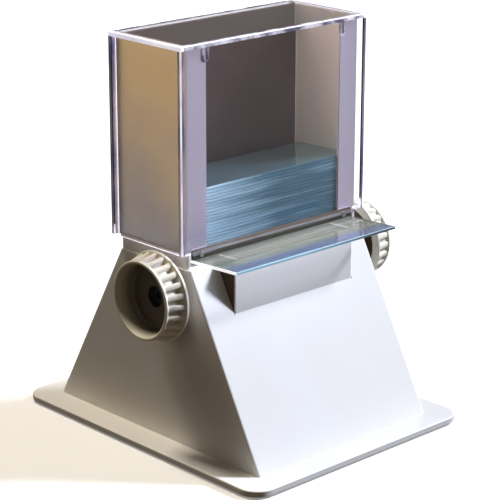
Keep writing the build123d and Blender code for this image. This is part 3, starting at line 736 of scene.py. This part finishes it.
def thumb_loop(bm, across, inner_face, roof):
    """Add one raised U inside the cover's front wall: a thin line down, round and up again."""
    width, height, line, relief = 3.0 * MM, 5.2 * MM, 0.8 * MM, 0.25 * MM
    sweep = (width - line) / 2
    middle = Vector((across, inner_face, roof - height + width / 2))
    start = middle - Vector((sweep, 0, 0))
    ring = bmesh.ops.create_circle(bm, cap_ends=True, segments=10, radius=line / 2)["verts"]
    bmesh.ops.scale(bm, vec=(1, 2 * relief / line, 1), verts=ring)
    bmesh.ops.translate(bm, vec=start, verts=ring)
    first = ring[0].link_faces[0]
    turned = bmesh.ops.spin(
        bm, geom=[first], cent=middle, axis=(0, 1, 0), dvec=(0, 0, 0), angle=-pi, steps=12,
        use_merge=False, use_duplicate=False,
    )
    last = next(part for part in turned["geom_last"] if isinstance(part, bmesh.types.BMFace))
    for end in (first, last):
        grown = bmesh.ops.extrude_face_region(bm, geom=[end])["geom"]
        tips = [part for part in grown if isinstance(part, bmesh.types.BMVert)]
        bmesh.ops.translate(bm, vec=(0, 0, roof - middle.z), verts=tips)
    # the loop takes the broken edge material, a painted highlight
    for face in bm.faces:
        if all(
            abs(vert.co.x - across) < width and inner_face - line / 2 < vert.co.y < inner_face + line
            for vert in face.verts
        ):
            face.material_index = BROKEN_EDGE


def turn_knob(side, node, sizes):
    """Turn a cupped knob from its section, then press the pockets in between its ribs."""
    low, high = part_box(node)
    middle = box_middle(node)
    inner = min(abs(low[0]), abs(high[0]))
    outer = max(abs(low[0]), abs(high[0]))
    flange = (high[2] - low[2]) / 2
    flange_back, flange_face = outer - 8.4 * MM, outer - 7.2 * MM
    rim_back = outer - 1.0 * MM
    floor, seat, shaft_end = outer - 6.6 * MM, outer - 9.9 * MM, outer - 10.2 * MM
    mouth, cup_mouth, cup_floor = flange - 1.9 * MM, flange - 2.9 * MM, flange - 4.4 * MM
    rib_back, rib_front = flange - 0.45 * MM, mouth - 0.1 * MM
    hub, hole, way, shaft = 6.0 * MM, 3.5 * MM, 1.6 * MM, 2.5 * MM
    edge = sizes.knob_round
    section = (
        (inner, shaft, 0), (inner, hub, edge), (flange_back, hub, 2 * edge),
        (flange_back, flange, edge), (flange_face, flange, edge), (flange_face, rib_back, 0),
        (rim_back, rib_front, 0), (rim_back, mouth, 0), (outer, mouth, edge),
        (outer, cup_mouth, edge), (floor, cup_floor, 4 * edge), (floor, hole, edge),
        (seat, hole, 0), (seat, way, 0), (shaft_end, way, 0), (shaft_end, shaft, 0),
    )
    bm = bmesh.new()
    corners = [bm.verts.new((x, 0, radius)) for x, radius, _ in section]
    bm.faces.new(corners)
    for width in sorted({width for _, _, width in section if width}):
        chosen = [corner for corner, (_, _, own) in zip(corners, section) if own == width]
        bmesh.ops.bevel(
            bm, geom=chosen, offset=width, segments=4, profile=0.5, affect="VERTICES",
            material=-1,
        )
    bmesh.ops.delete(bm, geom=bm.faces[:], context="FACES_ONLY")
    reach = rim_back - flange_face
    ribs = [
        each for each in bm.edges
        if abs(abs(each.verts[0].co.x - each.verts[1].co.x) - reach) < 0.01 * MM
        and min(vert.co.z for vert in each.verts) > cup_mouth
    ]
    cuts_along_rib, steps_per_rib = 26, 16
    bmesh.ops.subdivide_edges(bm, edges=ribs, cuts=cuts_along_rib)
    bmesh.ops.spin(
        bm, geom=bm.verts[:] + bm.edges[:], cent=(0, 0, 0), axis=(1, 0, 0), dvec=(0, 0, 0),
        angle=2 * pi, steps=sizes.rib_count * steps_per_rib, use_merge=True, use_duplicate=False,
    )
    half = sizes.rib_share / 2
    end_round = 0.45 * MM
    for vert in bm.verts:
        along = min(vert.co.x - flange_face, rim_back - vert.co.x)
        radius = math.hypot(vert.co.y, vert.co.z)
        if along < -0.001 * MM or radius < cup_mouth + 0.2 * MM:
            continue
        turn = math.atan2(vert.co.z, side * vert.co.y) / (2 * pi) * sizes.rib_count
        off_rib = abs((turn + 0.5) % 1.0 - 0.5)
        middle_share = 1 - ((vert.co.x - flange_face) / reach * 2 - 1) ** 2
        floor_radius = sizes.pocket_radius + sizes.pocket_crown * middle_share
        top_radius = radius - sizes.rib_round * min(off_rib / half, 1.0) ** 2
        depth = smooth_step((off_rib - half) / sizes.rib_wall) * smooth_step(along / end_round)
        wanted = top_radius + (floor_radius - top_radius) * depth
        vert.co.y *= wanted / radius
        vert.co.z *= wanted / radius
    for face in bm.faces:
        widest = max(math.hypot(vert.co.y, vert.co.z) for vert in face.verts)
        # faces inside the bore take the second material, painted shade
        in_bore = widest < hole + 0.01 * MM and face.calc_center_median().x > shaft_end
        face.material_index = 1 if in_bore else 0
    bmesh.ops.scale(bm, vec=(side, 1, 1), verts=bm.verts)
    bmesh.ops.translate(bm, vec=(0, middle.y, middle.z), verts=bm.verts)
    return bm


# ------------------------------------------------------------------ operators


class DISPENSER_OT_housing(bpy.types.Operator):
    """Finish the moulded base housing, its bottom plate, feet and bottom screws"""

    bl_idname = "dispenser.housing"
    bl_label = "Base housing"

    def execute(self, context):
        colours = context.scene.dispenser_colours
        # the landing's two cheeks are darkened with painted shade (#4C3820)
        cream = moulded_abs(
            "housing_moulded_abs", colours.housing[:], linear("#DCD6C8"), painted_cheek_shade,
            linear("#4C3820"),
        )
        dress("base_housing", cream)
        dress("bottom_plate", cream)
        dress("rubber_feet", soft_rubber("black_foot_rubber", linear("#1C1B1A"), 0.8))
        dress("bottom_screws", turned_steel("zinc_plated_steel", linear("#B9B8B4"), 0.3))
        return {"FINISHED"}


class DISPENSER_OT_magazine(bpy.types.Operator):
    """Finish the folded magazine, the deck, the gate bar and their screws"""

    bl_idname = "dispenser.magazine"
    bl_label = "Magazine, deck and gate"

    def execute(self, context):
        # gold sides are painted reflection, the near-white inside painted light, the brown back painted
        # shade
        sheet = rolled_steel(
            "brushed_stainless_sheet", linear("#ACA8B0"), linear("#908C84"), linear("#D2B47A"),
            linear("#FFF0D8"), linear("#50464A"), linear("#2E1400"),
        )
        for node in ("slide_magazine", "deck_plate"):
            dress(node, sheet)
        dress("gate_bar", drawn_strip(
            "drawn_stainless_strip", linear("#A08C80"), linear("#D0CEDC"), linear("#66605A"),
        ))
        bright = turned_steel("screw_steel", linear("#C4C2BE"), 0.25)
        for node in ("magazine_screws", "deck_screws", "gate_screws"):
            dress(node, bright)
        return {"FINISHED"}


class DISPENSER_OT_drive(bpy.types.Operator):
    """Finish the shaft, bushes, rollers, rings, washers and set screws"""

    bl_idname = "dispenser.drive"
    bl_label = "Shaft and rollers"

    def execute(self, context):
        dress("drive_shaft", turned_steel("shaft_turned_steel", linear("#BDBBB8"), 0.22))
        spring = turned_steel("blackened_spring_steel", linear("#34322F"), 0.4)
        for node in ("retaining_rings", "set_screws", "knob_screws"):
            dress(node, spring)
        acetal = acetal_resin("white_acetal", linear("#E9E6DE"))
        for node in (
            "left_bush", "right_bush", "left_roller_hub", "right_roller_hub", "thrust_washers",
        ):
            dress(node, acetal)
        tyre = soft_rubber("grey_tyre_rubber", linear("#3A3836"), 0.5)
        dress("left_roller_tyre", tyre)
        dress("right_roller_tyre", tyre)
        return {"FINISHED"}


class DISPENSER_OT_slides(bpy.types.Operator):
    """Finish the stack of glass slides and the slide that has been fed out"""

    bl_idname = "dispenser.slides"
    bl_label = "Glass slides"

    def execute(self, context):
        sizes = context.scene.dispenser_sizes
        colours = context.scene.dispenser_colours
        low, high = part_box("slide_stack")
        single_low, single_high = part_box("dispensed_slide")
        reflection_strip_width = 7.0 * MM
        single = Vector(single_high) - Vector(single_low)
        middle = box_middle("slide_stack")

        bm = bmesh.new()
        first = low[2] + single.z / 2
        step = (high[2] - low[2] - single.z) / (sizes.slide_count - 1)
        for number in range(sizes.slide_count):
            lay_slide(bm, Vector((middle.x, middle.y, first + number * step)), sizes.slide_edge)
        finish_piece(
            bm, "stacked_slides", "base",
            (
                layered_glass("layered_slide_faces", linear("#729CA0")),
                # the stacked edges darken towards +X as painted shade, and their ends carry a faint
                # painted glow
                ground_edges("stacked_ground_edges", linear("#90B2B6"), linear("#064850"), high[0]),
                frosted_edge(
                    "stacked_ground_ends", linear("#9CC4CC"), linear("#5E8C98"), high[0], 0.05,
                ),
            ),
            ("slide_stack",), smooth=False,
        )

        bm = bmesh.new()
        lay_slide(bm, box_middle("dispensed_slide"), sizes.slide_edge)
        finish_piece(
            bm, "fed_out_slide", "fed_slide",
            (
                # the strip along the fed-out slide's front edge is a painted reflection
                dusty_glass(
                    "dusty_slide_glass", colours.glass[:], linear("#8490A4"), single_low[1],
                    reflection_strip_width, linear("#F8F8FA"),
                ),
                # the fed-out slide's edges have a painted glow and darken to the right as painted shade;
                # its left end is a white painted highlight
                frosted_edge(
                    "ground_slide_edge", linear("#8ABCCA"), linear("#34505C"), single_high[0], 0.16,
                ),
                frosted_edge(
                    "ground_slide_end", linear("#FFFFFF"), linear("#2C3A50"), single_high[0], 0.7,
                ),
            ),
            ("dispensed_slide",), smooth=False,
        )
        return {"FINISHED"}


class DISPENSER_OT_cover(bpy.types.Operator):
    """Finish the clear lift-off cover"""

    bl_idname = "dispenser.cover"
    bl_label = "Clear cover"

    def execute(self, context):
        sizes = context.scene.dispenser_sizes
        colours = context.scene.dispenser_colours
        low, high = (Vector(corner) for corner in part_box("clear_cover"))
        wall = sizes.cover_wall
        magazine_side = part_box("slide_magazine")[1][0]

        bm = bmesh.new()
        bmesh.ops.create_cube(bm, size=1.0)
        bmesh.ops.scale(bm, vec=high - low, verts=bm.verts)
        bmesh.ops.translate(bm, vec=(high + low) / 2, verts=bm.verts)
        under = [face for face in bm.faces if face.normal.z < -0.9]
        bmesh.ops.delete(bm, geom=under, context="FACES_ONLY")
        bmesh.ops.solidify(bm, geom=bm.faces[:], thickness=wall)
        for axis, level in (
            (0, low.x + wall), (0, high.x - wall), (1, low.y + wall), (1, high.y - wall),
            (2, high.z - wall), (0, -magazine_side), (0, magazine_side),
        ):
            normal = Matrix.Identity(3)[axis]
            bmesh.ops.bisect_plane(
                bm, geom=bm.verts[:] + bm.edges[:] + bm.faces[:], dist=0.001 * MM,
                plane_co=normal * level, plane_no=normal,
            )
        close = 0.01 * MM

        def outer_gaps(point):
            return (
                min(point.x - low.x, high.x - point.x), min(point.y - low.y, high.y - point.y),
                high.z - point.z,
            )

        uprights = [
            edge for edge in bm.edges
            if all(max(outer_gaps(vert.co)[:2]) < close for vert in edge.verts)
            and abs(edge.verts[0].co.z - edge.verts[1].co.z) > close
        ]
        bevel_edges(bm, uprights, sizes.cover_edge)
        brink = [
            edge for edge in bm.edges
            if all(outer_gaps(vert.co)[2] < close for vert in edge.verts)
            and any(abs(face.normal.z) < 0.5 for face in edge.link_faces)
        ]
        bevel_edges(bm, brink, sizes.cover_edge * 0.7)
        # rims, rounded edges and uprights take the painted highlight materials; the rest stays clear
        for face in bm.faces:
            middle = face.calc_center_median()
            beside, ahead, above = (gap < wall - close for gap in outer_gaps(middle))
            under_rim = face.normal.z < -0.5 and middle.z - low.z < close
            turned = max(abs(part) for part in face.normal) < 0.97
            if under_rim or (above and beside) or (turned and (beside or ahead)):
                face.material_index = BRIGHT_EDGE
            elif above and ahead:
                face.material_index = BROKEN_EDGE
            elif (beside and ahead) or (abs(middle.x) > magazine_side and middle.y > high.y - 2 * wall):
                face.material_index = UPRIGHT_EDGE
            else:
                face.material_index = CLEAR_WALL
        loop_place = 31.7 * MM
        for across in (-loop_place, loop_place):
            thumb_loop(bm, across, low.y + wall, high.z - wall)
        cover = finish_piece(
            bm, "lift_off_cover", "cover",
            (
                clear_plastic("clear_moulded_san", colours.cover[:], linear("#E4E2EA")),
                # the three edge materials are painted highlights with a painted glow
                painted_highlight_edge("bright_san_edges", linear("#FFFFFF"), linear("#D6D0E2"), 16, 0.1, 0.7),
                painted_highlight_edge("broken_san_edges", linear("#F4F2FA"), linear("#5A5672"), 7, 0.35, 0.15),
                painted_highlight_edge("upright_san_edges", linear("#B8AEBE"), linear("#6A648E"), 20, 0.4, 0.05),
            ),
            ("clear_cover",), smooth=False,
        )

        # notch over the gate bar
        notch_width, notch_height, notch_edge = 78.6 * MM, 1.4 * MM, 0.6 * MM
        bm = bmesh.new()
        bmesh.ops.create_cube(bm, size=1.0)
        bmesh.ops.scale(bm, vec=(notch_width, 4 * wall, 2 * notch_height), verts=bm.verts)
        corners = [edge for edge in bm.edges if abs(edge.verts[0].co.y - edge.verts[1].co.y) > wall]
        bevel_edges(bm, corners, notch_edge)
        bmesh.ops.translate(bm, vec=(0, low.y, low.z), verts=bm.verts)
        mesh = bpy.data.meshes.new("notch_cutter")
        bm.to_mesh(mesh)
        bm.free()
        cutter = bpy.data.objects.new("notch_cutter", mesh)
        context.scene.collection.objects.link(cutter)
        carve(cover, cutter)
        return {"FINISHED"}


class DISPENSER_OT_knobs(bpy.types.Operator):
    """Finish the two ribbed knobs"""

    bl_idname = "dispenser.knobs"
    bl_label = "Knobs"

    def execute(self, context):
        colours = context.scene.dispenser_colours
        sizes = context.scene.dispenser_sizes
        # the knobs' cups are darkened towards their floor with painted shade (#4A3820)
        cream = moulded_abs(
            "knob_moulded_abs", colours.knob[:], linear("#D4CCB8"), painted_cup_shade, linear("#4A3820"),
            0.25, 0.38,
        )
        # the bore is coloured near black as painted shade
        bore = painted_shade_bore("shade_painted_bore", linear("#1E160E"))
        for side, name in ((-1, "left_knob"), (1, "right_knob")):
            bm = turn_knob(side, name, sizes)
            finish_piece(
                bm, f"ribbed_{name}", "knob_shaft", (cream, bore), (name,),
            )
        return {"FINISHED"}


class DISPENSER_OT_stage(bpy.types.Operator):
    """Lay the floor and set the light and the camera"""

    bl_idname = "dispenser.stage"
    bl_label = "Studio"

    def execute(self, context):
        scene = context.scene
        sizes = scene.dispenser_sizes
        colours = scene.dispenser_colours

        bm = bmesh.new()
        bmesh.ops.create_circle(bm, cap_ends=True, segments=96, radius=sizes.floor_radius)
        mesh = bpy.data.meshes.new("studio_floor")
        bm.to_mesh(mesh)
        bm.free()
        floor = bpy.data.objects.new("studio_floor", mesh)
        scene.collection.objects.link(floor)
        material, tree, place, output = start_material("matt_floor_paint")
        speck = add_node(tree, "ShaderNodeTexNoise", {
            "Vector": place, "Scale": per_mm(1.5), "Detail": 2.0,
        })
        gloss = add_node(tree, "ShaderNodeMapRange", {
            "Value": speck.outputs["Fac"], "To Min": 0.85, "To Max": 0.95,
        })
        paint = add_node(tree, "ShaderNodeBsdfPrincipled", {
            "Base Color": colours.floor[:], "Roughness": gloss.outputs["Result"],
            "Emission Color": colours.floor[:], "Emission Strength": 0.3,
        })
        # the floor throws back less light than it shows, as it would beyond the lit patch
        dull = add_node(tree, "ShaderNodeBsdfDiffuse", {"Color": linear("#3E3428")})
        seen = backdrop_share(tree, 0)
        shader = add_node(tree, "ShaderNodeMixShader", {
            0: seen, 1: dull.outputs[0], 2: paint.outputs[0],
        })
        tree.links.new(shader.outputs[0], output.inputs["Surface"])
        mesh.materials.append(material)

        world = bpy.data.worlds.new("soft_studio_sky")
        world.use_nodes = True
        tree = world.node_tree
        tree.nodes.clear()
        output = add_node(tree, "ShaderNodeOutputWorld")
        dim = add_node(tree, "ShaderNodeBackground", {"Color": linear("#B4A084"), "Strength": 0.1})
        pale = add_node(tree, "ShaderNodeBackground", {"Color": linear("#FBFBFA"), "Strength": 1.0})
        seen = backdrop_share(tree, 1)
        mixed = add_node(tree, "ShaderNodeMixShader", {
            0: seen, 1: dim.outputs[0], 2: pale.outputs[0],
        })
        tree.links.new(mixed.outputs[0], output.inputs["Surface"])
        scene.world = world

        for name, turn, lift, distance, size, power, colour in SOFTBOXES:
            light = bpy.data.lights.new(name, "AREA")
            light.shape = "SQUARE"
            light.size = size
            light.energy = power
            light.color = linear(colour)[:3]
            holder = bpy.data.objects.new(name, light)
            across, up = radians(turn), radians(lift)
            offset = Vector((sin(across) * cos(up), -cos(across) * cos(up), sin(up)))
            holder.location = Vector(SOFTBOX_TARGET) + offset * distance
            holder.rotation_euler = offset.to_track_quat("Z", "Y").to_euler()
            scene.collection.objects.link(holder)

        turn, lift, roll = (radians(each) for each in (CAMERA_TURN, CAMERA_LIFT, CAMERA_ROLL))
        back = Vector((sin(turn) * cos(lift), -cos(turn) * cos(lift), sin(lift)))
        camera = bpy.data.cameras.new("photo_camera")
        camera.sensor_width = SENSOR_WIDTH
        camera.lens = FOCAL_PIXELS / PHOTO_SIDE * SENSOR_WIDTH
        camera.clip_start = 0.01
        camera.clip_end = 50.0
        holder = bpy.data.objects.new("photo_camera", camera)
        holder.location = Vector(CAMERA_TARGET) + back * CAMERA_DISTANCE
        holder.rotation_euler = (
            Matrix.Rotation(turn, 3, "Z") @ Matrix.Rotation(pi / 2 - lift, 3, "X")
            @ Matrix.Rotation(roll, 3, "Z")
        ).to_euler()
        scene.collection.objects.link(holder)
        scene.camera = holder
        scene.view_settings.view_transform = "Standard"
        return {"FINISHED"}


class DISPENSER_PT_pieces(bpy.types.Panel):
    """The dispenser's pieces in the 3D view's sidebar"""

    bl_idname = "DISPENSER_PT_pieces"
    bl_label = "Slide dispenser"
    bl_space_type = "VIEW_3D"
    bl_region_type = "UI"
    bl_category = "Dispenser"

    def draw(self, context):
        column = self.layout.column()
        for group in (context.scene.dispenser_sizes, context.scene.dispenser_colours):
            for name in group.__annotations__:
                column.prop(group, name)
        for operator in PIECES:
            column.operator(operator.bl_idname)


PIECES = (
    DISPENSER_OT_housing,
    DISPENSER_OT_magazine,
    DISPENSER_OT_drive,
    DISPENSER_OT_slides,
    DISPENSER_OT_cover,
    DISPENSER_OT_knobs,
    DISPENSER_OT_stage,
)
CLASSES = (DispenserSizes, DispenserColours, *PIECES, DISPENSER_PT_pieces)


def register():
    for each in CLASSES:
        bpy.utils.register_class(each)
    bpy.types.Scene.dispenser_sizes = PointerProperty(type=DispenserSizes)
    bpy.types.Scene.dispenser_colours = PointerProperty(type=DispenserColours)


def unregister():
    del bpy.types.Scene.dispenser_colours
    del bpy.types.Scene.dispenser_sizes
    for each in reversed(CLASSES):
        bpy.utils.unregister_class(each)


def main():
    """Build every piece in order."""
    register()
    for operator in PIECES:
        area, name = operator.bl_idname.split(".")
        getattr(getattr(bpy.ops, area), name)()


if __name__ == "__main__":
    main()
